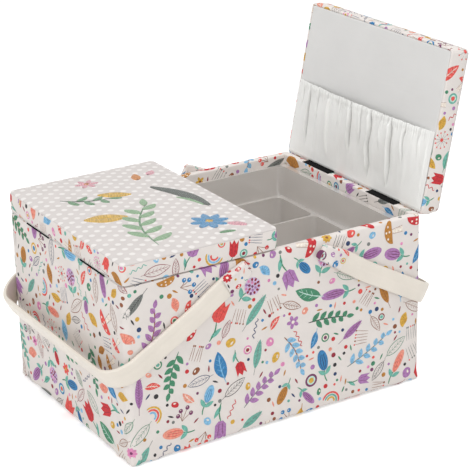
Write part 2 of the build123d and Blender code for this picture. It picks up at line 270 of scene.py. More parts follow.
def grained(name, rgb, rough, stretch, scale, spread=0.08, **sockets):
    """Board, wood, plastic or metal with a faint grain."""
    s = Shader(name, rough, **sockets)
    place = s.scaled(s.coords("Object"), stretch)
    grain = s.bump(s.noise(place, scale * 2), 0.0001)
    return s.finished(s.mottled(place, rgb, spread, scale), grain)


def stitched(name, rgb):
    """Satin stitch: close parallel threads with a soft shine."""
    s = Shader(name, 0.5, Sheen_Weight=0.3, Sheen_Roughness=0.4)
    flat = s.coords("UV")
    threads = s.maths("SINE", s.maths("MULTIPLY", s.split(flat)[0], 2 * pi / 0.0006))
    streaks = s.noise(s.scaled(flat, (1.0, 0.12, 1.0)), 900, 2)
    tones = linear([c * 0.8 for c in rgb]), linear([min(c * 1.1, 255) for c in rgb])
    return s.finished(s.ramp(streaks, 0.3, 0.7, tones), s.bump(threads, 0.00012, 0.8))


PRINTED = woven("printed_cotton", GROUND, creases=0.0004)
INK = {
    name: woven(f"ink_{name}", rgb, spread=0.10, patch=420) for name, rgb in INKS.items()
}
DOTTED = dotted_cloth()
LINING = satin("lining_satin", (221, 220, 218), 0.0005)
# The pocket's satin takes painted shade in its creases from the 'fold' attribute.
POCKET = satin("pocket_satin", (240, 240, 237), 0.0010, 0.5, True)
INSIDE = satin("lining_card", (224, 222, 218), 0.0004)
STRAP_FACE = leather("strap_leather", (231, 223, 211))
# The strap's back colour: partly its own darker taupe, partly painted shade on the side that faces
# the box.
STRAP_BACK_TONE_AND_SHADE = leather("strap_back_tone_and_shade", (200, 189, 175), 0.6)
WEBBING = woven("webbing", (20, 19, 19), 0.0009, 0.12, 300, depth=0.0003, strength=0.9,
                rough=0.95, Specular_IOR_Level=0.15)
TRAY = tray_plastic()
BOARD = grained("board", (186, 168, 142), 0.9, (1, 1, 1), 120)
WOOD = grained("rail_wood", (196, 164, 118), 0.7, (0.15, 1, 1), 90, 0.14)
CORE = grained("core_plastic", (150, 150, 150), 0.5, (1, 1, 1), 60)
METAL = grained("rivet_steel", (190, 190, 192), 0.35, (1, 1, 0.1), 200, Metallic=1.0)
ELASTIC = woven("elastic", (236, 236, 233), 0.0008)
BASE_CLOTH = woven("base_cloth", (222, 220, 216), 0.0008)


# Mesh helpers
def mesh_piece(name, points, faces, flat=None, materials=(), picks=None, place=SAME):
    """Object from points in millimetres, with flat cloth coordinates in metres."""
    mesh = bpy.data.meshes.new(name)
    mesh.from_pydata([place @ (Vector(p) * MM) for p in points], [], faces)
    if flat:
        layer = mesh.uv_layers.new(name="flat")
        for loop in mesh.loops:
            u, v = flat[loop.vertex_index]
            layer.data[loop.index].uv = (u * MM, v * MM)
    for material in materials:
        mesh.materials.append(material)
    mesh.polygons.foreach_set("use_smooth", [True] * len(mesh.polygons))
    if picks:
        mesh.polygons.foreach_set("material_index", picks)
    if place.determinant() < 0:
        mesh.flip_normals()
    mesh.update()
    made = bpy.data.objects.new(name, mesh)
    bpy.context.scene.collection.objects.link(made)
    return made


def grid_faces(rows, wide, start=0, turned=False, closed=False):
    """Quads between points given row by row, facing the other way if turned."""
    faces = []
    for row in range(rows - 1):
        for k in range(wide if closed else wide - 1):
            a, b = start + row * wide + k, start + row * wide + (k + 1) % wide
            faces.append((a, a + wide, b + wide, b) if turned else (a, b, b + wide, a + wide))
    return faces


def border(rows, wide):
    """Numbers of a grid's outer points, once round it."""
    ring = list(range(wide))
    ring += [row * wide + wide - 1 for row in range(1, rows)]
    ring += [(rows - 1) * wide + k for k in range(wide - 2, -1, -1)]
    return ring + [row * wide for row in range(rows - 2, 0, -1)]


def thicken(piece, thickness, offset=-1.0):
    """Gives a sheet its thickness, in millimetres."""
    solid = piece.modifiers.new("thickness", "SOLIDIFY")
    solid.thickness = thickness * MM
    solid.offset = offset
    solid.use_even_offset = False


def polar(radius, angle):
    """Flat point at that distance and direction from the origin."""
    return (radius * cos(angle), radius * sin(angle))


def turns(count):
    """Angles of that many directions, even all round."""
    return [2 * pi * k / count for k in range(count)]


def moved(points, x, y, turn=0.0, size=1.0):
    """Flat points scaled, turned and then moved by (x, y)."""
    c, s = polar(size, turn)
    return [(x + a * c - b * s, y + a * s + b * c) for a, b in points]


def between(first, second, share):
    """The point at that share of the way from the first to the second."""
    return [a + (b - a) * share for a, b in zip(first, second)]


def ease(value, low, high):
    """Smooth step from 0 at low to 1 at high."""
    share = min(max((value - low) / (high - low), 0.0), 1.0)
    return share * share * (3 - 2 * share)


def hill(value, width):
    """Smooth hill of height 1 at 0."""
    return exp(-((value / width) ** 2))


def arc(centre, radius, start, end, steps):
    """Points of a profile on an arc, between two angles in degrees."""
    angles = [radians(start + (end - start) * k / steps) for k in range(steps + 1)]
    return moved([polar(radius, angle) for angle in angles], *centre)


MESH_STEP, PRINT_STEP, SHARPEST = 6.0, 18.0, 0.8
CLOSE, FINE, CORNER_STEPS = 16.0, 1.6, 8


class Wrap:
    """Cloth round a rounded plan: u runs round the plan and v along the profile."""

    def __init__(self, length, depth, corner, middle, profile, swell=None):
        self.length, self.depth, self.corner, self.middle = length, depth, corner, middle
        self.profile, self.swell = profile, swell
        self.runs = [length - 2 * corner, depth - 2 * corner] * 2
        self.bend = corner * pi / 2
        self.round = sum(self.runs) + 4 * self.bend
        ends = accumulate(run + self.bend for run in self.runs)
        self.corners = [end - self.bend / 2 for end in ends]
        self.marks = [0.0]
        outward = []
        for (x0, z0), (x1, z1) in zip(profile, profile[1:]):
            size = hypot(x1 - x0, z1 - z0)
            self.marks.append(self.marks[-1] + size)
            outward.append((-(z1 - z0) / size, (x1 - x0) / size))
        self.normals = []
        for near, far in zip(outward[:1] + outward, outward + outward[-1:]):
            x, z = near[0] + far[0], near[1] + far[1]
            self.normals.append((x / hypot(x, z), z / hypot(x, z)))

    def around(self, u, inset):
        """Point and outward direction at u, drawn in by inset."""
        u = u % self.round
        radius = max(self.corner - inset, SHARPEST)
        half_x = self.length / 2 - inset - radius
        half_y = self.depth / 2 - inset - radius
        centres = [(half_x, -half_y), (half_x, half_y), (-half_x, half_y), (-half_x, -half_y)]
        for side, run in enumerate(self.runs):
            if u <= run + self.bend or side == 3:
                break
            u -= run + self.bend
        x, y = between(centres[side - 1], centres[side], min(u / run, 1.0))
        nx, ny = polar(1, radians(-90 + 90 * side) + pi / 2 * max(u - run, 0.0) / self.bend)
        return x + radius * nx + self.middle, y + radius * ny, nx, ny

    def at(self, u, v, lift=0.0):
        """Point of the cloth's surface, raised by lift."""
        v = min(max(v, 0.0), self.marks[-1])
        i = max(bisect_left(self.marks, v) - 1, 0)
        share = (v - self.marks[i]) / (self.marks[i + 1] - self.marks[i])
        inset, z = between(self.profile[i], self.profile[i + 1], share)
        n_in, n_up = between(self.normals[i], self.normals[i + 1], share)
        if self.swell:
            more, down = self.swell(self, u, inset, z)
            inset -= more
            z += down
        x, y, _, _ = self.around(u, inset + n_in * lift)
        return (x, y, z + n_up * lift)

    def lines(self, step):
        """Values of u for the mesh, close together at the corners."""
        near = [FINE * k for k in range(int(CLOSE / FINE))]
        out = []
        start = 0.0
        for run in self.runs:
            middle = run - 2 * CLOSE
            count = ceil(middle / step)
            out += [start + d for d in near]
            out += [start + CLOSE + middle * k / count for k in range(count)]
            out += [start + run - CLOSE + d for d in near]
            start += run
            out += [start + self.bend * k / CORNER_STEPS for k in range(CORNER_STEPS)]
            start += self.bend
        return out

    def corner_of(self, u):
        """Distance along the plan from the middle of the nearest corner."""
        half = self.round / 2
        return min(abs((u - corner + half) % self.round - half) for corner in self.corners)

    def mesh(self, name, material, place=SAME):
        """The cloth as a band of quads, with its seam where u begins and ends."""
        across = self.lines(MESH_STEP) + [self.round]
        flat = [(u, v) for v in self.marks for u in across]
        points = [self.at(u, v) for u, v in flat]
        faces = grid_faces(len(self.marks), len(across))
        return mesh_piece(name, points, faces, flat, [material], place=place)


# Outlines that the printed motifs are made of
def oval(x, y, rx, ry, turn=0.0, count=16, wobble=0.0, rng=None):
    """Closed oval outline, a little uneven if asked."""
    points = []
    for angle in turns(count):
        grow = 1 + (rng.uniform(-wobble, wobble) if rng else 0)
        points.append((rx * cos(angle) * grow, ry * sin(angle) * grow))
    return moved(points, x, y, turn)


def disc(x, y, radius, count):
    return oval(x, y, radius, radius, 0, count)


def half_ring(rx, ry):
    return [(rx * cos(pi * k / 12), ry * sin(pi * k / 12)) for k in range(13)]


def leaf(x, y, length, width, turn=0.0, count=9, skew=0.0):
    """Pointed leaf from its foot at (x, y)."""
    upper, lower = [], []
    for k in range(count + 1):
        share = k / count
        half = width / 2 * sin(pi * share) ** 0.75 * (1.15 - 0.35 * share)
        bend = skew * sin(pi * share)
        upper.append((share * length, bend + half))
        lower.append((share * length, bend - half))
    return moved(upper + lower[-2:0:-1], x, y, turn)


def leaf_pair(y, length, width, spread):
    """Two leaves, one to each side of an upright stem at height y."""
    return [leaf(0, y, length, width, pi / 2 + side * spread, 7) for side in (-1, 1)]


def curve(x, y, length, turn, bend, steps=6):
    """Points of a gently bent stem."""
    shares = [k / steps for k in range(steps + 1)]
    return moved([(length * t, bend * sin(pi * t)) for t in shares], x, y, turn)


def stroke(points, width):
    """Thin line of that width along points, as one outline."""
    left, right = [], []
    for i, (x, y) in enumerate(points):
        x0, y0 = points[max(i - 1, 0)]
        x1, y1 = points[min(i + 1, len(points) - 1)]
        size = hypot(x1 - x0, y1 - y0)
        nx, ny = -(y1 - y0) / size, (x1 - x0) / size
        taper = 0.55 if i in (0, len(points) - 1) else 1.0
        half = width / 2 * taper
        left.append((x + nx * half, y + ny * half))
        right.append((x - nx * half, y - ny * half))
    return left + right[::-1]


def veins(places, y, along, aside, width):
    """Short slanting strokes on both sides of a leaf's middle line."""
    return [
        stroke([(x, y), (x + along, y + side * aside)], width) for x in places for side in (-1, 1)
    ]


def inked(ink, layer, *outlines):
    """Shapes of one ink, on a layer above what they cover."""
    return [(outline, ink, layer) for outline in outlines]


def placed(shapes, x, y, turn=0.0, size=1.0):
    return [(moved(outline, x, y, turn, size), ink, layer) for outline, ink, layer in shapes]


# Printed motifs: each gives its shapes and the circles that it fills
def motif_leaf(rng):
    size = rng.uniform(13, 20)
    width = size * rng.uniform(0.36, 0.5)
    ink = rng.choice(["teal", "green", "mustard", "salmon", "blue", "coral"])
    vein = {"teal": "green", "green": "mint", "mustard": "ochre", "blue": "sky"}.get(ink, "pale")
    foot = -size / 2
    places = [foot + size * share for share in (0.3, 0.5, 0.68)]
    shapes = inked(ink, 0, leaf(foot, 0, size, width, skew=1.0))
    shapes += inked(vein, 1, stroke(curve(foot - 3, 0, size + 0.5, 0, 1.0), 0.6))
    shapes += inked(vein, 1, *veins(places, 0.9, 2.4, width * 0.3, 0.4))
    return shapes, [(-size / 3, 0, width / 2), (0, 0, width / 2 + 1), (size / 3, 0, width / 2)]


def motif_sprig(rng):
    size = rng.uniform(30, 40)
    stem = rng.choice(["grey", "green", "brown", "black"])
    ink = rng.choice(["teal", "green", "sky", "mauve"])
    line = curve(-size / 2, 0, size, 0, rng.uniform(-3, 3), 10)
    shapes = inked(stem, 0, stroke(line, 0.9))
    for k, (x, y) in enumerate(line[1:-1], 1):
        turn = 0.85 if k % 2 else -0.85
        shapes += inked(ink, 1, leaf(x, y, 9.5 - 0.45 * k, 4.2, turn, 7))
        shapes += inked(stem, 2, stroke(moved([(0, 0), (5, 0)], x, y, turn), 0.35))
    shapes += inked(ink, 1, leaf(*line[-1], 7, 3.6, 0, 7))
    return shapes, [(-size / 2 + size * k / 5, 0, 6.5) for k in range(6)]


def motif_flower(rng):
    size = rng.uniform(4.5, 8)
    ink, heart = rng.choice(
        [("coral", "mustard"), ("pink", "plum"), ("sky", "navy"), ("mustard", "brown"),
         ("mauve", "pale"), ("red", "pale"), ("blue", "mint")]
    )
    shapes = []
    for k, angle in enumerate(turns(rng.choice([5, 6, 8]))):
        petal = oval(*polar(size * 0.6, angle), size * 0.45, size * 0.3, angle, 12)
        shapes += inked(ink, k % 2, petal)
    return shapes + inked(heart, 2, disc(0, 0, size * 0.27, 10)), [(0, 0, size * 1.05)]


def motif_tulip(rng):
    ink, dark = rng.choice([("coral", "red"), ("red", "maroon"), ("mauve", "plum")])
    wide, tall = rng.uniform(8, 11), rng.uniform(11, 14)
    cup = [(-wide / 2, tall), (-wide / 2 + 0.3, 2.5), (-wide / 5, 0), (wide / 5, 0),
           (wide / 2 - 0.3, 2.5), (wide / 2, tall), (wide / 4, tall - 3), (0, tall + 0.6),
           (-wide / 4, tall - 3)]
    shapes = inked(ink, 1, cup)
    for share in (-0.22, 0.22):
        mark = [(wide * share * 0.6, 1.5), (wide * share, tall - 4)]
        shapes += inked(dark, 2, stroke(mark, 0.6))
    shapes += inked("green", 0, stroke(curve(0, 0, 12, -pi / 2, 1.2), 0.9))
    shapes += inked("teal", 0, leaf(0, -10, 9, 3, 1.0, 7))
    return placed(shapes, 0, -2), [(0, tall / 2 - 2, wide * 0.68), (0, -8, 4.5)]


def motif_rings(rng):
    size = rng.uniform(3.4, 6.2)
    inks = rng.sample(["coral", "teal", "mustard", "plum", "blue", "pink", "green", "maroon"], 2)
    inks.insert(1, rng.choice(["pale", "mint"]))
    shapes = []
    for layer, (share, count) in enumerate([(1, 20), (0.68, 18), (0.42, 14)]):
        shapes += inked(inks[layer], layer, disc(0, 0, size * share, count))
    return shapes, [(0, 0, size + 0.6)]


def motif_pebble(rng):
    size = rng.uniform(3.0, 5.4)
    ink = rng.choice(["coral", "green", "blue", "sky", "mauve", "pink", "salmon", "mustard",
                      "brown", "red"])
    shapes = inked(ink, 0, oval(0, 0, size, size * rng.uniform(0.62, 0.95), 0, 14, 0.06, rng))
    shine = oval(-size * 0.2, size * 0.2, size * 0.35, size * 0.2, 0.5, 10)
    return shapes + inked("pale", 1, shine), [(0, 0, size + 0.6)]


def motif_bud(rng):
    wide, tall = rng.uniform(5.5, 8), rng.uniform(14, 20)
    ink, line = rng.choice([("blue", "navy"), ("sky", "blue"), ("salmon", "coral"),
                            ("mauve", "plum"), ("ochre", "brown"), ("red", "maroon")])
    shapes = inked("green", 0, stroke(curve(0, -tall / 2 - 5, tall / 2, pi / 2, 0.8), 0.8))
    shapes += inked(ink, 1, oval(0, 1.5, wide / 2, tall / 2 - 1.5, 0, 20))
    for x in (-wide / 4, 0.0, wide / 4):
        rib = [(x * 0.5, -tall * 0.3), (x, 0), (x * 0.6, tall * 0.32)]
        shapes += inked(line, 2, stroke(rib, 0.5))
    shapes += inked("teal", 2, *leaf_pair(-tall / 2, 6.5, 2.8, 0.8))
    near = wide / 2 + 0.8
    return shapes, [(0, tall / 4, near), (0, -1, near), (0, -tall / 2 - 1, 4.5)]


def motif_line_leaf(rng):
    size = rng.uniform(15, 24)
    ink = rng.choice(["navy", "black", "maroon", "green", "brown"])
    foot = -size / 2
    outline = leaf(foot, 0, size, size * 0.38)
    ring = outline + outline[:2]
    half = len(ring) // 2
    lines = [ring[:half + 1], ring[half:], [(foot - 3, 0), (-foot - 2, 0)]]
    shapes = inked(ink, 1, *[stroke(line, 0.5) for line in lines])
    places = [foot + size * k / 7 for k in range(1, 6)]
    shapes += inked(ink, 1, *veins(places, 0, 2.4, 2.0, 0.35))
    return shapes, [(-size / 4, 0, size * 0.2), (size / 4, 0, size * 0.2)]


def motif_burst(rng):
    size = rng.uniform(5.5, 9)
    ink, tip = rng.choice([("grey", "coral"), ("black", "mustard"), ("brown", "pink"),
                           ("green", "red"), ("navy", "sky")])
    shapes = []
    for angle in turns(rng.choice([9, 11, 13])):
        end = polar(size * rng.uniform(0.82, 1.0), angle)
        shapes += inked(ink, 0, stroke([polar(size * 0.18, angle), end], 0.4))
        shapes += inked(tip, 1, disc(*end, 0.75, 8))
    return shapes + inked(tip, 1, disc(0, 0, size * 0.22, 10)), [(0, 0, size + 0.6)]


def motif_arches(rng):
    inks = rng.sample(["coral", "mustard", "teal", "mauve", "sky", "red"], 3)
    shapes = []
    for ink, radius in zip(inks, (8.0, 5.7, 3.4)):
        shapes += inked(ink, 0, stroke(moved(half_ring(radius, radius), 0, -3), 1.6))
    return shapes, [(0, 0, 8.2)]


def motif_toadstool(rng):
    ink = rng.choice(["red", "ochre", "coral"])
    wide = rng.uniform(6.5, 8.5)
    shapes = inked("pale", 0, [(-2.0, -8), (2.0, -8), (1.4, 1), (-1.4, 1)])
    shapes += inked(ink, 1, half_ring(wide, wide * 0.72))
    for side in (-1, 1):
        shapes += inked("brown", 1, stroke([(side * 2.0, -8), (side * 1.4, 0)], 0.4))
    for x, y in ((-0.5, 0.42), (0.05, 0.25), (0.5, 0.36), (0.05, 0.55)):
        shapes += inked("pale", 2, oval(wide * x, wide * y, 0.8, 0.7, 0, 8))
    return shapes, [(0, 1.5, wide), (0, -5.5, 3.2)]


def motif_berries(rng):
    ink = rng.choice(["red", "maroon", "blue", "plum", "coral"])
    shapes = []
    for angle, reach in ((1.0, 9), (1.6, 11), (2.2, 8.5), (2.75, 6)):
        x, y = reach * cos(angle), reach * sin(angle) - 5
        shapes += inked("brown", 0, stroke([(0, -6), (x * 0.5, y * 0.4 - 2), (x, y)], 0.5))
        shapes += inked(ink, 1, disc(x, y, 1.9, 12))
        shapes += inked("pale", 2, disc(x - 0.5, y + 0.5, 0.5, 8))
    return shapes, [(-1.5, 0.5, 7.2)]


def motif_feather(rng):
    size = rng.uniform(24, 34)
    ink, line = rng.choice([("grey", "black"), ("mauve", "plum"), ("ochre", "brown"),
                            ("teal", "grey")])
    foot = -size / 2
    places = [foot + 5 + (size - 7) * k / 12 for k in range(2, 12)]
    shapes = inked(ink, 0, leaf(foot + 5, 0, size - 5, 6.5, 0, 14))
    shapes += inked(line, 1, stroke([(foot, 0), (-foot - 1, 0)], 0.6))
    shapes += inked(line, 1, *veins(places, 0, 2.2, 2.3, 0.35))
    return shapes, [(foot + size * k / 4, 0, 3.9) for k in range(5)]


def motif_grass(rng):
    ink = rng.choice(["grey", "black", "navy", "brown"])
    shapes = []
    for k in range(5):
        x = -5 + 2.5 * k
        lean = rng.uniform(-1.4, 1.4)
        blade = [(x, -6), (x + lean * 0.4, 0), (x + lean, 6)]
        shapes += inked(ink, 0, stroke(blade, 0.45))
        shapes += inked(rng.choice(["coral", ink]), 1, oval(x + lean, 6.4, 0.7, 0.9, 0, 8))
    return shapes, [(0, -2.5, 5.2), (0, 2.5, 5.2)]


def motif_wave(rng):
    ink = rng.choice(["red", "navy", "teal", "maroon"])
    line = [(-9 + k, 1.2 * sin(k * 1.15)) for k in range(19)]
    return inked(ink, 0, stroke(line, 0.8)), [(-6, 0, 2.4), (0, 0, 2.4), (6, 0, 2.4)]


def motif_shell(rng):
    size = rng.uniform(6.5, 10)
    ink, line = rng.choice([("mustard", "ochre"), ("ochre", "brown"), ("salmon", "coral"),
                            ("sky", "blue")])
    angles = [pi * (0.12 + 0.76 * k / 12) for k in range(13)]
    fan = [polar(size, angle) for angle in angles]
    shapes = inked(ink, 0, [(-1.2, 0), (1.2, 0)] + fan)
    for angle in angles[2:-1:2]:
        shapes += inked(line, 1, stroke([polar(1, angle), polar(size * 0.93, angle)], 0.5))
    return placed(shapes, 0, -size / 2), [(0, 0, size * 0.8)]


def motif_posy(rng):
    size = rng.uniform(6.5, 8.5)
    shapes = inked("green", 0, stroke(curve(0, -size - 8, 10, pi / 2, 1.0), 0.9))
    shapes += inked("teal", 0, *leaf_pair(-size - 5, 9, 4, 0.95))
    shapes += inked("lilac", 1, oval(0, 0, size, size, 0, 18, 0.05, rng))
    for ring, count in ((0.0, 1), (0.42, 6), (0.78, 11)):
        for angle in turns(count):
            turn = angle + ring
            ink = rng.choice(["plum", "pink", "mauve", "maroon"])
            petal = oval(*polar(size * ring, turn), 1.25, 1.0, turn, 8, 0.1, rng)
            shapes += inked(ink, 2, petal)
    return shapes, [(0, 0, size + 0.8), (0, -size - 3, 6.0)]


def motif_dot(rng):
    size = rng.uniform(1.3, 2.6)
    return inked(rng.choice(STRONG_INKS), 0, disc(0, 0, size, 12)), [(0, 0, size + 0.4)]


def motif_tick(rng):
    ink = rng.choice(["black", "maroon", "navy", "salmon", "ochre", "green"])
    return inked(ink, 0, leaf(-3.5, 0, 7, 1.8, 0, 6)), [(-1.8, 0, 1.6), (1.8, 0, 1.6)]


LARGE = [motif_sprig, motif_feather, motif_posy, motif_sprig, motif_feather, motif_line_leaf]
SOLID = [motif_bud, motif_tulip, motif_shell, motif_toadstool, motif_leaf, motif_bud]
MEDIUM = [motif_leaf, motif_tulip, motif_bud, motif_shell, motif_berries, motif_grass,
          motif_line_leaf, motif_burst, motif_arches, motif_toadstool, motif_line_leaf]
SMALL = [motif_flower, motif_rings, motif_pebble, motif_wave, motif_leaf, motif_pebble,
         motif_grass]
TINY = [motif_dot, motif_tick, motif_dot]
# Kinds of motif, tries and size in each round of filling a cloth
BODY_ROUNDS = [(LARGE, 110, 1.25), (SOLID, 330, 1.55), (MEDIUM, 9000, 1.15), (SMALL, 12000, 1.1),
               (TINY, 14000, 1.0)]
LID_ROUNDS = [(MEDIUM, 400, 1.1), (SMALL, 1500, 1.0), (TINY, 1500, 1.0)]
TAB_ROUNDS = [(SMALL, 60, 0.8), (TINY, 200, 0.8)]
CELL, GAP = 16.0, 1.0
BODY_LIFT, SMALL_LIFT, INK_LAYER = 0.07, 0.06, 0.05


def scatter(width, height, seed, rounds, wraps=True):
    """Shapes of many motifs, close-set but clear of each other, over a flat width and height."""
    rng = random.Random(seed)
    filled = {}
    shapes = []

    def clear(circles):
        for x, y, r in circles:
            cx, cy = int(x // CELL), int(y // CELL)
            for i in range(cx - 2, cx + 3):
                for j in range(cy - 2, cy + 3):
                    for ox, oy, other in filled.get((i, j), ()):
                        if hypot(x - ox, y - oy) < r + other + GAP:
                            return False
        return True

    for kinds, tries, size in rounds:
        for _ in range(tries):
            drawn, circles = rng.choice(kinds)(rng)
            x, y, turn = rng.uniform(0, width), rng.uniform(0, height), rng.uniform(0, 2 * pi)
            middles = moved([circle[:2] for circle in circles], x, y, turn, size)
            taken = [(a, b, circle[2] * size) for (a, b), circle in zip(middles, circles)]
            if not clear(taken):
                continue
            for a, b, r in taken:
                for shift in ((-width, 0, width) if wraps else (0,)):
                    key = (int((a + shift) // CELL), int(b // CELL))
                    filled.setdefault(key, []).append((a + shift, b, r))
            shapes += placed(drawn, x, y, turn, size)
    return shapes


def cut(work, place, way, clear=False):
    """Cuts flat faces along a line, and clears what lies beyond it if asked."""
    bmesh.ops.bisect_plane(
        work, geom=work.verts[:] + work.edges[:] + work.faces[:], plane_co=place, plane_no=way,
        dist=1e-5, clear_outer=clear,
    )


def printed(name, shapes, surface, cuts_u, cuts_v, low_v, high_v, place=SAME, lift=BODY_LIFT):
    """Motifs laid on a surface, cut where the surface bends."""
    work = bmesh.new()
    inks = sorted({ink for _, ink, _ in shapes})
    for outline, ink, layer in shapes:
        if max(v for _, v in outline) < low_v or min(v for _, v in outline) > high_v:
            continue
        raised = lift + INK_LAYER * layer
        face = work.faces.new([work.verts.new((u, v, raised)) for u, v in outline])
        face.material_index = inks.index(ink)
    for u in cuts_u:
        cut(work, (u, 0, 0), (1, 0, 0))
    for v in cuts_v:
        cut(work, (0, v, 0), (0, 1, 0))
    cut(work, (0, low_v, 0), (0, -1, 0), True)
    cut(work, (0, high_v, 0), (0, 1, 0), True)
    bmesh.ops.triangulate(work, faces=work.faces[:], quad_method="BEAUTY", ngon_method="BEAUTY")
    work.verts.index_update()
    flat = [(v.co.x, v.co.y) for v in work.verts]
    points = [surface(*v.co) for v in work.verts]
    faces = []
    for face in work.faces:
        corners = [v.index for v in face.verts]
        faces.append(corners[::-1] if face.normal.z < 0 else corners)
    picks = [face.material_index for face in work.faces]
    work.free()
    return mesh_piece(name, points, faces, flat, [INK[i] for i in inks], picks, place)


# Body
def body_profile():
    """Section of the cloth, from its edge under the base to its edge inside the rim."""
    foot_round, inner_round, low = 3.5, 1.2, 12.0
    points = [(14.0, FOOT), (9.0, FOOT)]
    points += arc((foot_round, FOOT + foot_round), foot_round, -90, -180, 6)
    points += [(0.0, low + (HEIGHT - RIM_ROUND - low) * k / 16) for k in range(16)]
    points += arc((RIM_ROUND, HEIGHT - RIM_ROUND), RIM_ROUND, 180, 90, 4)
    points += [(4.0, HEIGHT + 0.15)]
    points += arc((RIM_INSIDE - inner_round, HEIGHT - inner_round), inner_round, 90, 0, 4)
    return points + [(RIM_INSIDE, HEIGHT - 5), (RIM_INSIDE, HEIGHT - TURN_IN)]


def body_swell(wrap, u, inset, z):
    """Padded bulge of the walls, and the gathered cloth at the bottom corners."""
    if inset >= 3.6 or z >= HEIGHT - 1:
        return 0.0, 0.0
    share = min(max((z - FOOT) / (HEIGHT - FOOT), 0), 1)
    near = wrap.corner_of(u)
    side = min(1.0, near / 40)
    x, y, _, _ = wrap.around(u, 0)
    low = hill(z - FOOT, 6)
    fold = hill(near, 9) * low
    lump = hill(near - 23, 7) * low
    more = (0.7 + 0.2 * side) * sin(pi * share) ** 0.5
    more += 0.25 * noise.noise((x / 34, y / 34, z / 30)) * side
    more += fold * (1.3 + 0.8 * cos(near * 0.9)) + 0.8 * lump
    return more, -1.3 * max(fold, lump)


BODY_SEED, PRINT_START = 11, 9.0
BODY = Wrap(LENGTH, DEPTH, CORNER, 0.0, body_profile(), body_swell)
body_cloth = BODY.mesh("body_cloth", PRINTED)
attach(body_cloth, "box")
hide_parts("body_cover", "wall_wadding")
body_motifs = scatter(BODY.round, BODY.marks[-1], BODY_SEED, BODY_ROUNDS)
body_print = printed(
    "body_print", body_motifs, BODY.at, BODY.lines(PRINT_STEP), BODY.marks, PRINT_START,
    BODY.marks[-1],
)
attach(body_print, "box")


# Lids
def skirt_profile():
    """Section of a lid's printed cloth, from the groove round its lining to the top seam."""
    inside = [(LID_MARGIN + 0.6, 1.1), (3.3, 1.05), (2.5, 0.8)]
    turn = arc((RIM_ROUND, RIM_ROUND), RIM_ROUND, -45, -180, 6)
    outside = [(-0.35, 6), (-0.55, 10), (-0.35, 15)]
    seam = [(0.05, SKIRT - 0.9), (0.35, SKIRT - 0.35), (1.0, SKIRT - 0.1)]
    return [(inset, LID_BOTTOM + z) for inset, z in inside + turn + outside + seam]


def skirt_swell(wrap, u, inset, z):
    """Fuller cloth on the right lid's hinge end, which closes the line at the rim when open."""
    _, _, nx, _ = wrap.around(u, 0)
    above = z - LID_BOTTOM
    if nx <= 0 or inset > 2.0:
        return 0.0, 0.0
    return 2.0 * ease(nx, 0.2, 1) * ease(above, -0.2, 1.6) * (1 - ease(above, 9, 18)), 0.0


def lid_depth(x, y):
    """How far a point of the lid's plan lies inside its edge."""
    px = abs(x - LID_MIDDLE) - (LID_LENGTH / 2 - LID_CORNER)
    py = abs(y) - (DEPTH / 2 - LID_CORNER)
    return LID_CORNER - hypot(max(px, 0), max(py, 0)) - min(max(px, py), 0)


def top_surface(x, y, lift=0.0):
    """Point of a lid's padded top, raised by lift."""
    deep = max(lid_depth(x, y), 0.0)
    near = min(deep / 1.6, 1.0)
    rise = 1.3 * sqrt(1 - (1 - near) ** 2) + 1.8 * (1 - exp(-deep / 14))
    soft = 0.18 * noise.noise((x / 22, y / 22, 3.0)) * min(deep / 10, 1)
    return (x, y, LID_BOTTOM + SKIRT - 0.3 + rise + soft + lift)


def graded(half, step, near):
    """Places from -half to half, at the given distances near both ends."""
    inner = half - near[-1]
    count = ceil(inner / step)
    right = [inner * k / count for k in range(1, count)] + [half - d for d in reversed(near)]
    return [-x for x in reversed(right)] + [0.0] + right


def rounded_corner(x, y, half_x, half_y, radius):
    """The point of a rectangle's grid moved inside its rounded corners."""
    px, py = abs(x) - (half_x - radius), abs(y) - (half_y - radius)
    if px <= 0 or py <= 0:
        return x, y
    p, q = px / radius, py / radius
    px, py = radius * p * sqrt(1 - q * q / 2), radius * q * sqrt(1 - p * p / 2)
    x1, y1 = half_x - radius + px, half_y - radius + py
    return (x1 if x > 0 else -x1), (y1 if y > 0 else -y1)


def lid_grid(half_x, half_y, radius, step, near):
    """Rows and columns over a lid's plan, with the places of their points."""
    columns, rows = graded(half_x, step, near), graded(half_y, step, near)
    places = [rounded_corner(x, y, half_x, half_y, radius) for y in rows for x in columns]
    return rows, columns, places


TOP_NEAR = [0.0, 0.12, 0.35, 0.7, 1.2, 1.9, 2.8, 4.0, 6.0, 9.0]
SEAM_IN, SEAM_DOWN = 1.1, 1.2


def lid_top(name, place):
    """Padded top cloth of a lid, with its edge tucked into the seam."""
    rows, columns, flat = lid_grid(LID_LENGTH / 2, DEPTH / 2, LID_CORNER, 5.0, TOP_NEAR)
    points = [top_surface(LID_MIDDLE + x, y) for x, y in flat]
    faces = grid_faces(len(rows), len(columns))
    edge = border(len(rows), len(columns))
    start = len(points)
    for k, (first, second) in enumerate(zip(edge, edge[1:] + edge[:1])):
        x, y, z = points[first]
        away = Vector((x - LID_MIDDLE, y))
        pull = 1 - SEAM_IN / away.length
        points.append((LID_MIDDLE + away.x * pull, away.y * pull, z - SEAM_DOWN))
        flat.append(flat[first])
        faces.append((first, start + k, start + (k + 1) % len(edge), second))
    return mesh_piece(name, points, faces, flat, [DOTTED], place=place)


PANEL_INSET, PANEL_HINGE, PANEL_CORNER = 2.6, -0.1, 3.0
PANEL_NEAR = [0.0, 0.2, 0.45, 0.8, 1.3, 2.5, 4.5]
PANEL_SOFT = 1.1


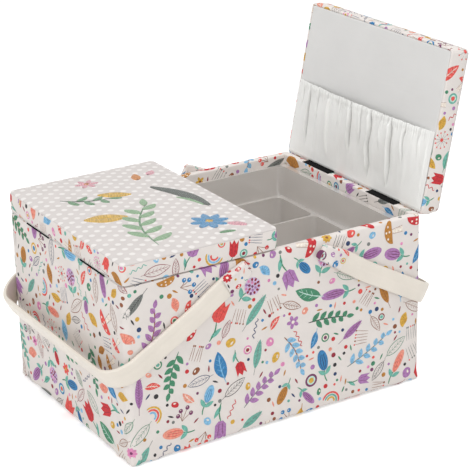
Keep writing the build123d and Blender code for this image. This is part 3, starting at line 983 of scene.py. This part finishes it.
def lining_panel(name, place):
    """Satin-covered panel under a lid, with soft edges and a groove round it but at the hinge."""
    half_x, half_y = (LID_LENGTH - PANEL_INSET - PANEL_HINGE) / 2, DEPTH / 2 - PANEL_INSET
    middle = LID_MIDDLE + (PANEL_INSET - PANEL_HINGE) / 2
    rows, columns, flat = lid_grid(half_x, half_y, PANEL_CORNER, 8, PANEL_NEAR)
    points = []
    for (x1, y1), (x, y) in zip(flat, [(x, y) for y in rows for x in columns]):
        edge = min(half_x + x, half_y - abs(y))
        drop = PANEL_SOFT * (1 - min(edge / PANEL_SOFT, 1.0)) ** 2
        soft = 0.05 * noise.noise((x / 40, y / 40, 8.0))
        points.append((middle + x1, y1, LID_BOTTOM - 0.12 + drop + soft))
    faces = grid_faces(len(rows), len(columns), turned=True)
    made = mesh_piece(name, points, faces, flat, [LINING], place=place)
    thicken(made, 0.5)
    return made


LID_SEEDS = {"left": 23, "right": 37}
for side, (lid_place, _, _) in SIDES.items():
    body = f"{side}_lid"
    swell = skirt_swell if side == "right" else None
    wrap = Wrap(LID_LENGTH, DEPTH, LID_CORNER, LID_MIDDLE, skirt_profile(), swell)
    skirt = wrap.mesh(f"{side}_lid_skirt", PRINTED, lid_place)
    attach(skirt, body)
    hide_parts(f"{side}_lid_cover")
    motifs = scatter(wrap.round, wrap.marks[-1], LID_SEEDS[side], LID_ROUNDS)
    skirt_print = printed(
        f"{side}_lid_print", motifs, wrap.at, wrap.lines(PRINT_STEP), wrap.marks,
        wrap.marks[2], wrap.marks[-3], lid_place, SMALL_LIFT,
    )
    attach(skirt_print, body)
    top = lid_top(f"{side}_lid_top", lid_place)
    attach(top, body)
    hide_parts(f"{side}_lid_top_panel", f"{side}_lid_padding")
    panel = lining_panel(f"{side}_lining_panel", lid_place)
    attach(panel, body)
    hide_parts(f"{side}_lid_lining")


# Embroidery on the lids' tops
THREADS = {
    name: stitched(f"thread_{name}", rgb) for name, rgb in {
        "sage": (150, 184, 146), "green": (118, 158, 122), "slate": (92, 98, 92),
        "blue": (96, 154, 198), "mustard": (222, 182, 92), "orange": (214, 140, 74),
        "pink": (228, 172, 182),
    }.items()
}


def stitched_sprig(x, y, length, turn, bend, size, thread, stem):
    """A bent stem with satin-stitched leaves on both sides of it."""
    out = [(x, y, length, 2.4, turn, bend, stem)]
    leaves = 2 * int(length / (size * 0.8))
    line = curve(x, y, length, turn, bend, leaves)
    for k, foot in enumerate(line[1:-1], 1):
        way = turn + (0.85 if k % 2 else -0.85)
        out.append((*foot, size * (1.1 - 0.35 * k / leaves), size * 0.45, way, 0.8, thread))
    return out + [(*line[-1], size * 0.8, size * 0.36, turn, 0.0, thread)]


def stitched_flower(x, y, radius, petals, thread, heart):
    """Satin-stitched petals round a small heart."""
    out = []
    for angle in turns(petals):
        turn = angle + 0.2
        foot = moved([(radius * 0.2, 0)], x, y, turn)[0]
        out.append((*foot, radius * 0.85, radius * 0.52, turn, 0.0, thread))
    for turn in turns(4):
        out.append((x, y, radius * 0.28, radius * 0.3, turn, 0.0, heart))
    return out


def embroidery():
    """Every satin stitch: foot, length, width, turn, bend and thread."""
    out = stitched_sprig(112, -94, 100, 1.95, -10, 22, "sage", "green")
    out += stitched_sprig(134, 56, 46, 3.6, 5, 15, "green", "slate")
    out += stitched_flower(46, -70, 17, 8, "blue", "mustard")
    out += stitched_flower(92, 84, 11, 6, "pink", "orange")
    out += [(24, -34, 78, 15, 1.3, 6, "slate"), (28, -30, 34, 5, 1.25, 3, "sage")]
    out += [(139, -3, 40, 11, 3.5, bend, "mustard") for bend in (-5, 5)]
    out += [(70, 34, 32, 8, 0.5, bend, "mustard") for bend in (-3, 3)]
    out += [(46, 66, 17, 10, 1.9, 0, "orange"), (30, 74, 13, 9, 2.4, 0, "pink")]
    return out + [(22, -96, 18, 10, 0.8, 1, "pink"), (38, -102, 15, 6, 0.2, 1, "green")]


def embroider(name, stitches, place):
    """Raised satin stitch on a lid's top, one domed leaf for each entry."""
    threads = sorted({entry[-1] for entry in stitches})
    across = 8
    points, flat, faces, picks = [], [], [], []
    for number, (x, y, length, width, turn, bend, thread) in enumerate(stitches):
        rows = max(ceil(length / 1.6), 5)
        faces += grid_faces(rows + 1, across + 1, len(points), turned=True)
        picks += [threads.index(thread)] * (rows * across)
        raised = 0.25 + 0.1 * min(width, 7) + 0.02 * (number % 3)
        for row in range(rows + 1):
            share = row / rows
            half = width / 2 * sin(pi * (0.03 + 0.94 * share)) ** 0.6
            for k in range(across + 1):
                t = 2 * k / across - 1
                spot = (length * share, bend * sin(pi * share) + t * half)
                lift = raised * sqrt(1 - t * t) - 0.15
                points.append(top_surface(*moved([spot], x, y, turn)[0], lift))
                flat.append(spot)
    return mesh_piece(name, points, faces, flat, [THREADS[t] for t in threads], picks, place)


for side, (lid_place, _, _) in SIDES.items():
    sewn = embroider(f"{side}_lid_embroidery", embroidery(), lid_place)
    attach(sewn, f"{side}_lid")


# Pocket, in the lid's own coordinates before it opens
POCKET_EDGE, POCKET_FOOT, POCKET_MOUTH = 113.0, 1.0, 78.0
POCKET_COLUMNS = 460
POCKET_ROWS = [POCKET_FOOT, 3, 6, 9, *range(12, 53, 4), 55, 58, 60, 62, 64, 66, 67.5, 69, 70.2,
               71.2, *range(72, 78), POCKET_MOUTH]
FULLNESS = 1.3
RIM_CLEAR = 8.5
# Place, depth, lowest reach and way of each fold: long ones first, then short ones at the mouth
FOLDS = [(87, 1.0, 14, 1), (50, 1.2, 8, -1), (8, 1.2, 26, 1), (-24, 1.4, 6, 1), (-56, 1.5, 6, 1),
         (101, 0.5, 46, 1), (69, 0.5, 40, 1), (30, 0.6, 44, -1), (-9, 0.6, 34, 1),
         (-41, 0.6, 40, -1), (-76, 0.7, 36, 1), (-95, 0.5, 48, -1)]


def pocket_form(y, reach):
    """How far the pocket's cloth stands off the lining, and how much painted shade darkens it in its
    creases and ruffle valleys.
    """
    inside = POCKET_EDGE - abs(y)
    stand = 1.2 + 6.6 * (1 - min(abs(y) / 104, 1.0) ** 2)
    lift = 0.5 + (stand - 0.5) * ease(reach, 5, 62) * ease(inside, 0, 9)
    body = ease(reach, 6, 18) * (1 - 0.6 * ease(reach, 68, 73))
    inner = ease(inside, 2, 14)
    painted_shade = 0.0
    for place, depth, lowest, way in FOLDS:
        line = place + 3.0 * noise.noise((place, reach / 24, 1.0)) + 0.05 * (reach - 40)
        off = (y - line) * way
        size = 1.2 * depth * body * ease(reach, lowest, lowest + 16)
        if off > 0:
            roll = 1.5 * hill(off - 1.7, 1.2) + 0.7 * exp(-off / 8)
        else:
            roll = -0.8 * exp(off / 5)
        lift += size * (roll - 2.3 * hill(off, 0.7))
        # Painted shade along the valley of each fold.
        painted_shade += 0.75 * min(size, 1.0) * hill(off + 0.2, 0.8)
    lift += 0.8 * noise.noise((y / 7, reach / 30, 7.0)) * body * inner
    lift += 1.5 * noise.noise((y / 22, reach / 40, 3.0)) * body * inner
    pucker = 1.2 * noise.noise((y / 1.4, 0.4, 2.0)) + 0.55 * sin(y * 2.2)
    reach_down = max(9 + 20 * noise.noise((y / 3, 5.0, 0)), 2)
    near = ease(reach, 72 - reach_down, 72.5) * inner
    lift += 0.9 * pucker * near + 0.35 * hill(reach - 74.5, 1.6) * inner
    # Painted shade in the valleys of the ruffled mouth.
    painted_shade += 0.45 * max(-pucker, 0.0) * near
    beside_rim = max(min(reach - RIM_CLEAR, DEPTH / 2 - RIM_CLEAR - abs(y)), 0.0)
    return min(max(lift, 0.45), 0.2 + 1.5 * beside_rim), min(painted_shade, 0.9)


def pocket():
    """Gathered satin pocket with a ruffled elastic mouth."""
    columns = [
        POCKET_EDGE * (2 * k / POCKET_COLUMNS - 1) for k in range(POCKET_COLUMNS + 1)
    ]
    points, flat, painted_fold_shades = [], [], []
    for reach in POCKET_ROWS:
        for y in columns:
            lift, painted_shade = pocket_form(y, reach)
            wave = 0.8 * noise.noise((y / 1.8, 9.0, 0)) + 0.9 * noise.noise((y / 30, 4.0, 0))
            along = reach + wave * ease(reach, 62, 78)
            points.append((HINGE_X - along, y, LID_BOTTOM - 0.15 - lift))
            flat.append((y * FULLNESS, reach))
            painted_fold_shades.append(painted_shade)
    faces = grid_faces(len(POCKET_ROWS), len(columns), turned=True)
    made = mesh_piece("pocket", points, faces, flat, [POCKET], place=OPENED)
    # The 'fold' attribute carries the painted crease shade that darkens the pocket's satin.
    made.data.attributes.new("fold", "FLOAT", "POINT").data.foreach_set("value", painted_fold_shades)
    thicken(made, 0.35, 1.0)
    return made


pouch = pocket()
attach(pouch, "right_lid")
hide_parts("right_lid_pocket", "right_pocket_elastic")


# Hinge tapes: their line on the rim, round the hinge, and under the lid from the hinge inwards
TAPE_RIM = [(152.7, 174.34), (156.5, 174.36), (159.2, 174.36)]
TAPE_BEND = {
    "right": [(159.95, 174.42), (160.25, 174.62), (160.42, 174.86)],
    "left": [(160.6, 173.95), (161.2, 174.6), (160.6, 175.25)],
}
TAPE_UNDER = [(0.5, 0.42), (2.2, 0.44), (3.6, 0.52)]
TAPE_WIDTH, TAPE_THICK, TAPE_COLUMNS = 46, 0.38, 24
TAPE_STARTS = {"front": -81.5, "back": 29.5}


def tape(name, side, y0):
    """One woven tape from the rim to the lid's underside."""
    place = OPENED if side == "right" else SAME
    path = [Vector((x, 0, z)) for x, z in TAPE_RIM + TAPE_BEND[side]]
    for reach, above in TAPE_UNDER:
        point = place @ Vector(((HINGE_X - reach) * MM, 0, (HINGE_Z + above) * MM))
        path.append(point / MM)
    points, flat = [], []
    for layer in (TAPE_THICK / 2, -TAPE_THICK / 2):
        run = 0.0
        for i, point in enumerate(path):
            ahead = path[min(i + 1, len(path) - 1)] - path[max(i - 1, 0)]
            up = Vector((-ahead.z, 0, ahead.x)).normalized()
            if i:
                run += (point - path[i - 1]).length
            for k in range(TAPE_COLUMNS + 1):
                share = k / TAPE_COLUMNS
                y = y0 + TAPE_WIDTH * share + 0.25 * noise.noise((i, k * 0.6, y0))
                ripple = 0.05 * noise.noise((share * 9, i * 0.7, y0))
                at = point + up * (layer + ripple)
                points.append((at.x, y, at.z))
                flat.append((y, run))
    rows, wide = len(path), TAPE_COLUMNS + 1
    low = rows * wide
    ring = border(rows, wide)
    faces = grid_faces(rows, wide, turned=True)
    faces += [face[::-1] for face in grid_faces(rows, wide, low, turned=True)]
    faces += [(a, b, b + low, a + low) for a, b in zip(ring, ring[1:] + ring[:1])]
    return mesh_piece(name, points, faces, flat, [WEBBING], place=SIDES[side][2])


for side in SIDES:
    for name, y0 in TAPE_STARTS.items():
        strip = tape(f"{side}_tape_{name}", side, y0)
        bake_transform(strip)
        if name == "front":
            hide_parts("body_hinge_tapes", f"{side}_lid_tapes")


# Handles, in their own flat coordinates before they hang
TAB_START, TAB_END, TAB_BACK, TAB_FRONT, TAB_RAISE = -14.0, 14.0, 116.5, 122.4, 2.6
ROUND_FRONT, ROUND_BACK = 2.2, 1.0
TAB_PRINT_LENGTH, TAB_PRINT, TAB_CUTS = 27.0, 17, range(-13, 14, 2)
FACE_STEPS = 24
STRAP_STEP = 4.0


def strap_path(start):
    """Points along the middle of the strap with their outward directions."""
    arm_end, half = REACH - U_CORNER, ARM - U_CORNER
    count = ceil((arm_end - start) / STRAP_STEP)
    out = [(start + (arm_end - start) * k / count, -ARM, 0.0, -1.0) for k in range(count)]
    for k in range(13):
        nx, ny = polar(1, radians(-90 + 90 * k / 12))
        out.append((arm_end + U_CORNER * nx, -half + U_CORNER * ny, nx, ny))
    count = ceil(half / STRAP_STEP)
    out += [(REACH, -half + half * k / count, 1.0, 0.0) for k in range(1, count)]
    return out + [(REACH, 0.0, 1.0, 0.0)] + [(x, -y, nx, -ny) for x, y, nx, ny in reversed(out)]


def strap_section():
    """Outline of the strap's padded section: (outward, across), with a soft fold along it."""
    half, thick = STRAP_WIDTH / 2, STRAP / 2
    outer = []
    for k in range(FACE_STEPS + 1):
        w = half * 0.93 * (2 * k / FACE_STEPS - 1)
        rise = thick + 1.1 * sqrt(1 - (w / half) ** 2) - 0.1
        outer.append((rise - 0.3 * hill(w - 2.0, 1.6), w))
    upper = [(thick * 0.62, half * 0.99), (0.1, half), (-thick * 0.6, half * 0.985),
             (-thick * 0.97, half * 0.9)]
    return outer + upper + [(-thick, 0.0)] + [(out, -across) for out, across in reversed(upper)]


def strap(name, place, shift):
    """U-shaped strap with a cream face and a darker back, partly its own taupe and partly painted
    shade where it faces the box.
    """
    section = strap_section()
    around = len(section)
    path = strap_path(shift - STRAP_TAIL)
    points, flat = [], []
    run = 0.0
    for i, (x, y, nx, ny) in enumerate(path):
        if i:
            run += hypot(x - path[i - 1][0], y - path[i - 1][1])
        fat = 0.15 * noise.noise((x / 30, y / 30, 1.5))
        slim = 1 - 0.22 * (1 - ease(x - shift, 3, 15))
        raised = TAB_RAISE * (1 - ease(x, 12, 60))
        for out, across in section:
            more = out * (0.7 if x < TAB_END + shift else 1.0) + (fat if out > 0 else 0)
            points.append((x + nx * more, y + ny * more, across * slim + raised))
            flat.append((run, across))
    faces = grid_faces(len(path), around, closed=True)
    # These faces, on the side towards the box, take the back colour, which is partly painted shade.
    back = range(FACE_STEPS + 3, FACE_STEPS + 8)
    picks = [1 if k in back else 0 for k in range(around)] * (len(path) - 1)
    faces.append(list(range(around))[::-1])
    faces.append(list(range(len(points) - around, len(points))))
    return mesh_piece(
        name, points, faces, flat, [STRAP_FACE, STRAP_BACK_TONE_AND_SHADE], picks + [0, 0], place
    )


def tab_section(x):
    """A tab's half height, front and back at x along the strap, and the lengths round half of it."""
    near_end = min(max((x - TAB_START) / 3.5, 0.0), 1.0)
    end = sqrt(1 - (1 - near_end) ** 2)
    full = 0.35 + 0.65 * end
    half = (7.8 + 1.7 * ease(x, -13, 13)) * (0.8 + 0.2 * end)
    front = ARM + (TAB_FRONT + 2.3 * hill(x, 7.5) - ARM) * full
    back = ARM - (ARM - TAB_BACK) * full
    tall = front - back - ROUND_FRONT - ROUND_BACK
    bends = ROUND_FRONT * pi / 2, ROUND_BACK * pi / 2
    return half, front, back, [half - ROUND_FRONT, bends[0], tall, bends[1], half - ROUND_BACK]


def tab_surface(x, v, lift=0.0):
    """Point of a tab's cloth: v runs round the section from the middle of the front."""
    half, front, back, lengths = tab_section(x)
    side, run = (1 if v >= 0 else -1), abs(v)
    crease = 0.55 * hill(x + 0.9 * v - 1.0, 1.3) if run < 9 else 0.0
    lift = lift + 0.3 * noise.noise((x / 5, v / 6, 2.0)) - crease
    leg = 0
    while leg < 4 and run > lengths[leg]:
        run -= lengths[leg]
        leg += 1
    if leg == 0:
        out, across = front + lift, run
    elif leg == 1:
        more, aside = polar(ROUND_FRONT + lift, run / ROUND_FRONT)
        out, across = front - ROUND_FRONT + more, half - ROUND_FRONT + aside
    elif leg == 2:
        out, across = front - ROUND_FRONT - run, half + lift
    elif leg == 3:
        aside, less = polar(ROUND_BACK + lift, run / ROUND_BACK)
        out, across = back + ROUND_BACK - less, half - ROUND_BACK + aside
    else:
        out, across = back, max(half - ROUND_BACK - run, 0.0)
    return (x, -out, side * across + TAB_RAISE)


def tab(name, place):
    """Printed sleeve of cloth round one end of a strap."""
    columns, around = 41, 64
    flat = []
    for k in range(columns):
        x = TAB_START + (TAB_END - TAB_START) * (k / (columns - 1))
        half_round = sum(tab_section(x)[3])
        flat += [(x, half_round * (2 * i / around - 1)) for i in range(around)]
    points = [tab_surface(x, v) for x, v in flat]
    faces = grid_faces(columns, around, turned=True, closed=True) + [list(range(around))]
    return mesh_piece(name, points, faces, flat, [PRINTED], place=place)


# The right handle's front tab sits further along its strap, and its back tab is a fuller one
TAB_SHIFT = {"right": 7.0, "left": 0.0}
BACK_TAB = {
    "right": Matrix.Diagonal((1.35, -1.0, 1.7, 1.0)), "left": Matrix.Diagonal((1.0, -1.0, 1.0, 1.0))
}
TAB_SEEDS = {"right": {"front": 5, "back": 45}, "left": {"front": 9, "back": 49}}
for side, (_, hang, _) in SIDES.items():
    body = f"{side}_handle"
    shift = TAB_SHIFT[side]
    band = strap(f"{side}_strap", hang, shift)
    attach(band, body)
    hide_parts(f"{side}_handle_strap", f"{side}_handle_core")
    along = Matrix.Translation((shift * MM, 0, 0))
    for face, flip in (("front", along), ("back", BACK_TAB[side])):
        sleeve = tab(f"{side}_tab_{face}", hang @ flip)
        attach(sleeve, body)
        if face == "front":
            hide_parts(f"{side}_handle_tabs")
        seed = TAB_SEEDS[side][face]
        motifs = scatter(TAB_PRINT_LENGTH, 2 * TAB_PRINT, seed, TAB_ROUNDS, wraps=False)
        sleeve_print = printed(
            f"{side}_tab_{face}_print", placed(motifs, TAB_START, -TAB_PRINT), tab_surface,
            TAB_CUTS, range(-TAB_PRINT, TAB_PRINT + 1), -TAB_PRINT, TAB_PRINT,
            hang @ flip, SMALL_LIFT,
        )
        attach(sleeve_print, body)


# Camera at the photograph's viewing angle, and the light
CAMERA_PLACE = (-0.76065, -1.29419, 0.73492)
CAMERA_TURN, CAMERA_RISE, CAMERA_ROLL = radians(-31.31), radians(21.29), radians(-1.30)
CAMERA_LENS = 126.73
# Place, height of the target, size in metres and watts of each soft light
LIGHTS = {
    "key": ((-0.3, -1.9, 1.15), 0.12, 1.0, 6.5),
    "fill": ((-1.9, -0.1, 0.9), 0.2, 1.2, 8.0),
    "top": ((0.12, -0.3, 2.15), 0.15, 1.3, 16),
}
WHITE = (1, 1, 1, 1)
WORLD_LIGHT, WORLD_SEEN, FLOOR_SEEN = 0.6, 1.0, 0.4
FLOOR_HALF = 3000


def aim_camera():
    data = bpy.data.cameras.new("camera")
    data.sensor_fit = "HORIZONTAL"
    data.sensor_width = 36.0
    data.lens = CAMERA_LENS
    data.clip_start = 0.05
    data.clip_end = 20.0
    made = bpy.data.objects.new("camera", data)
    aimed = Matrix.Translation(CAMERA_PLACE)
    for angle, axis in ((CAMERA_TURN, "Z"), (pi / 2 - CAMERA_RISE, "X"), (CAMERA_ROLL, "Z")):
        aimed = aimed @ Matrix.Rotation(angle, 4, axis)
    made.matrix_world = aimed
    bpy.context.scene.collection.objects.link(made)
    bpy.context.scene.camera = made


def light(name, place, height, size, power):
    """Square soft light aimed at a height above the middle of the base."""
    data = bpy.data.lights.new(name, "AREA")
    data.size = size
    data.energy = power
    made = bpy.data.objects.new(name, data)
    made.location = place
    way = Vector((0, 0, height)) - Vector(place)
    made.rotation_euler = way.to_track_quat("-Z", "Y").to_euler()
    bpy.context.scene.collection.objects.link(made)


def studio():
    """White surroundings, soft lights and a pale floor."""
    scene = bpy.context.scene
    scene.view_settings.view_transform = "Standard"
    world = bpy.data.worlds.new("studio")
    scene.world = world
    world.use_nodes = True
    sky = Nodes(world.node_tree)
    sky.tree.nodes.clear()
    lit, seen = [
        sky.node("Background", {"Color": WHITE, "Strength": power}).outputs[0]
        for power in (WORLD_LIGHT, WORLD_SEEN)
    ]
    mixed = sky.node("MixShader", {0: sky.seen(), 1: lit, 2: seen})
    sky.node("OutputWorld", {0: mixed.outputs[0]})
    for name, values in LIGHTS.items():
        light(name, *values)
    s = Shader("floor", 0.9, Emission_Color=WHITE, Specular_IOR_Level=0.1)
    pale = s.mottled(s.coords("Object"), (244, 244, 244), 0.004, 2)
    s.feed(pale, s.bsdf.inputs["Base Color"])
    s.feed(s.maths("MULTIPLY", s.seen(), FLOOR_SEEN), s.bsdf.inputs["Emission Strength"])
    corners = [(FLOOR_HALF * x, FLOOR_HALF * y, 0) for x, y in ((-1, -1), (1, -1), (1, 1), (-1, 1))]
    floor = mesh_piece("floor", corners, [(0, 1, 2, 3)], None, [s.material])


aim_camera()
studio()

# Finishes of the CAD pieces that stay as they are
KEPT = {
    "board": BOARD, "base_cloth": BASE_CLOTH, "printed_cotton": PRINTED, "dotted_cotton": DOTTED,
    "wadding": BASE_CLOTH, "lining_card": INSIDE, "lining_satin": LINING,
    "pocket_satin": POCKET, "elastic": ELASTIC, "webbing": WEBBING, "rail_wood": WOOD,
    "strap_leather": STRAP_FACE, "core_plastic": CORE, "rivet_steel": METAL,
    "tray_plastic": TRAY,
}
for part in frame["record"]["subparts"]:
    node = frame["nodes"].get(part["node"])
    if node is None:
        continue
    node.data.materials.clear()
    node.data.materials.append(KEPT[part["material_slot"]])
